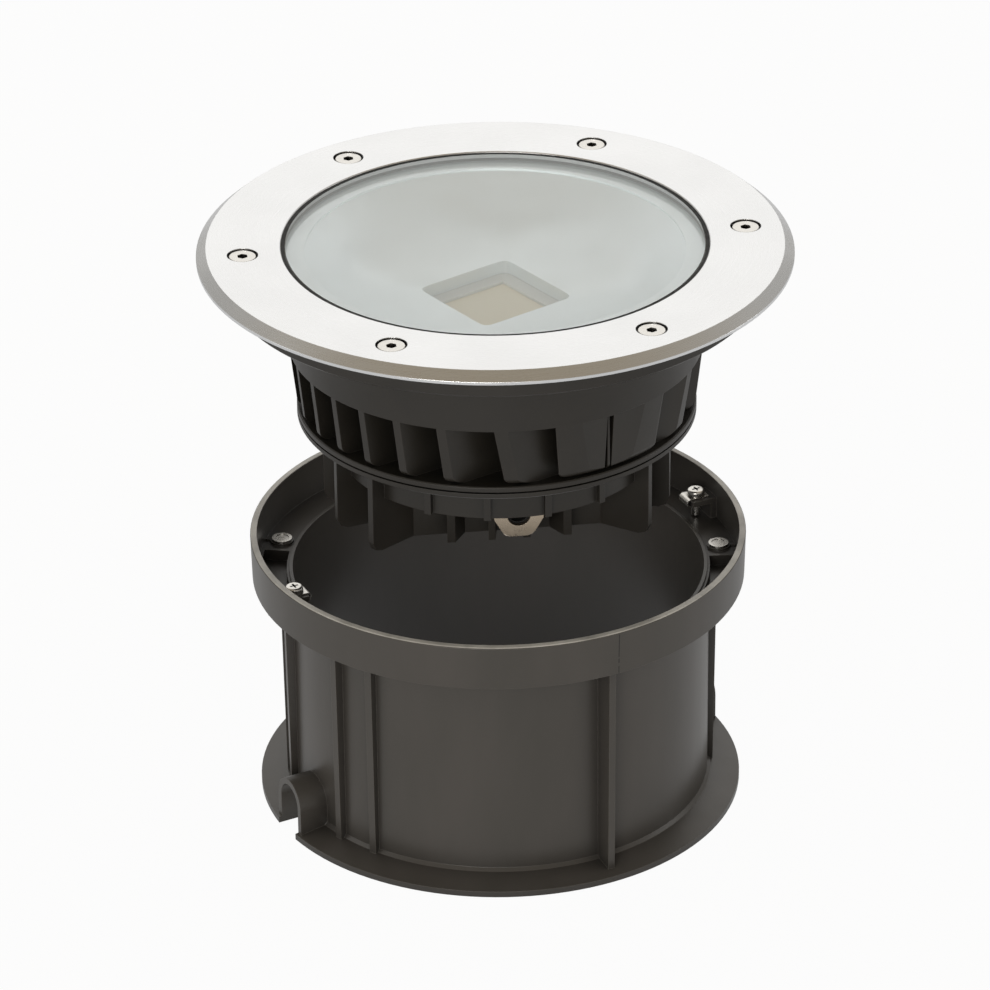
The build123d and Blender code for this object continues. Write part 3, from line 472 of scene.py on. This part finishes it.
def make_dish():
    """Reflector as one closed shell: flat rim, smooth dish and square throat, a millimetre thick."""
    rim_corners = ((DISH_R, DISH_RIM_TOP), (DISH_RIM_R, DISH_RIM_TOP), (DISH_RIM_R, DISH_RIM_LOW),
                   (DISH_SEAT_R, DISH_RIM_LOW))
    rim = [squared_ring(radius, ROUND_POWER, height) for radius, height in rim_corners]
    piece = loops_to_piece("reflector_dish", rim + dish_skin(DISH_WALL) + dish_skin(0.0)[::-1])
    piece.data.materials.append(reflector_metal().material)
    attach(piece, "luminaire")
    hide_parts("reflector")


# ---- camera and stage -------------------------------------------------------------------
def around(azimuth, elevation, reach):
    """A place round the object: azimuth in degrees to the right of the camera's own side."""
    a = CAMERA_AZIMUTH + math.radians(azimuth)
    e = math.radians(elevation)
    step = Vector((math.sin(a) * math.cos(e), -math.cos(a) * math.cos(e), math.sin(e)))
    return LAMP_CENTRE + step * reach


def add_camera():
    """Camera fitted to the photograph's ellipses, with its small roll."""
    data = bpy.data.cameras.new("camera")
    data.lens = CAMERA_LENS
    data.sensor_width = CAMERA_SENSOR
    data.clip_start, data.clip_end = CAMERA_CLIP
    cam = bpy.data.objects.new("camera", data)
    bpy.context.scene.collection.objects.link(cam)
    bpy.context.scene.camera = cam
    out = Vector((math.sin(CAMERA_AZIMUTH), -math.cos(CAMERA_AZIMUTH), 0.0))
    side = Vector((math.cos(CAMERA_AZIMUTH), math.sin(CAMERA_AZIMUTH), 0.0))
    up = Vector((0.0, 0.0, 1.0))
    ahead = -out * math.cos(CAMERA_YAW) + side * math.sin(CAMERA_YAW)
    side = side * math.cos(CAMERA_YAW) + out * math.sin(CAMERA_YAW)
    look = ahead * math.cos(CAMERA_PITCH) - up * math.sin(CAMERA_PITCH)
    top = up * math.cos(CAMERA_PITCH) + ahead * math.sin(CAMERA_PITCH)
    right = side * math.cos(CAMERA_ROLL) + top * math.sin(CAMERA_ROLL)
    top = top * math.cos(CAMERA_ROLL) - side * math.sin(CAMERA_ROLL)
    turn = Matrix((right, top, -look)).transposed().to_4x4()
    cam.matrix_world = Matrix.Translation(out * CAMERA_REACH + up * CAMERA_HEIGHT) @ turn


def add_soft_box(name, azimuth, elevation, reach, size, watts, colour):
    """Soft box that points at the object."""
    data = bpy.data.lights.new(name, "AREA")
    data.shape = "RECTANGLE"
    data.size, data.size_y = size
    data.energy = watts
    data.color = colour
    lamp = bpy.data.objects.new(name, data)
    bpy.context.scene.collection.objects.link(lamp)
    lamp.location = around(azimuth, elevation, reach)
    lamp.rotation_euler = (LAMP_AIM - lamp.location).to_track_quat("-Z", "Y").to_euler()


def floor_finish():
    """White to the camera with a faint shadow, and even but dimmer where the object mirrors it."""
    material = bpy.data.materials.new("floor_white")
    material.use_nodes = True
    graph = Graph(material.node_tree)
    rays = graph.add("ShaderNodeLightPath").outputs
    direct = graph.math("MAXIMUM", rays["Is Camera Ray"], rays["Is Transmission Ray"])
    mirrored = graph.math("MULTIPLY", rays["Is Glossy Ray"], FLOOR_MIRRORED)
    glow = graph.add("ShaderNodeEmission")
    graph.link(graph.math("ADD", direct, mirrored), glow.inputs["Strength"])
    paper = graph.add("ShaderNodeBsdfDiffuse", Color=(*FLOOR_PAPER, 1.0))
    shown = graph.math("MULTIPLY", graph.math("MAXIMUM", direct, rays["Is Glossy Ray"]), FLOOR_SHARE)
    both = graph.mixed_shaders(shown, paper.outputs["BSDF"], glow.outputs["Emission"])
    graph.link(both, graph.add("ShaderNodeOutputMaterial").inputs["Surface"])
    return material


def add_floor():
    """Plain pale floor under the sleeve's foot."""
    half = FLOOR_HALF
    corners = [(-half, -half, FLOOR_Z), (half, -half, FLOOR_Z), (half, half, FLOOR_Z), (-half, half, FLOOR_Z)]
    mesh = bpy.data.meshes.new("floor")
    mesh.from_pydata(corners, [], [(0, 1, 2, 3)])
    mesh.materials.append(floor_finish())
    floor = bpy.data.objects.new("floor", mesh)
    bpy.context.scene.collection.objects.link(floor)


def add_world():
    """White to the camera; to everything else a dim grey that turns tan overhead."""
    world = bpy.data.worlds.new("studio")
    bpy.context.scene.world = world
    world.use_nodes = True
    graph = Graph(world.node_tree)
    direction = graph.split(graph.add("ShaderNodeTexCoord").outputs["Generated"])
    dim = graph.add("ShaderNodeBackground", Strength=1.0)
    overhead = graph.ranged(direction["Z"], 0.0, 1.0, ABOVE_START, ABOVE_END)
    graph.link(graph.mixed(overhead, WORLD_SIDES, WORLD_ABOVE), dim.inputs["Color"])
    white = graph.add("ShaderNodeBackground", Color=(*WHITE, 1.0), Strength=1.0)
    camera_ray = graph.add("ShaderNodeLightPath").outputs["Is Camera Ray"]
    both = graph.mixed_shaders(camera_ray, dim.outputs["Background"], white.outputs["Background"])
    graph.link(both, graph.add("ShaderNodeOutputWorld").inputs["Surface"])


dress_all()
make_dish()
add_camera()
add_floor()
add_world()
for soft_box in SOFT_BOXES:
    add_soft_box(*soft_box)
bpy.context.scene.view_settings.view_transform = "Standard"
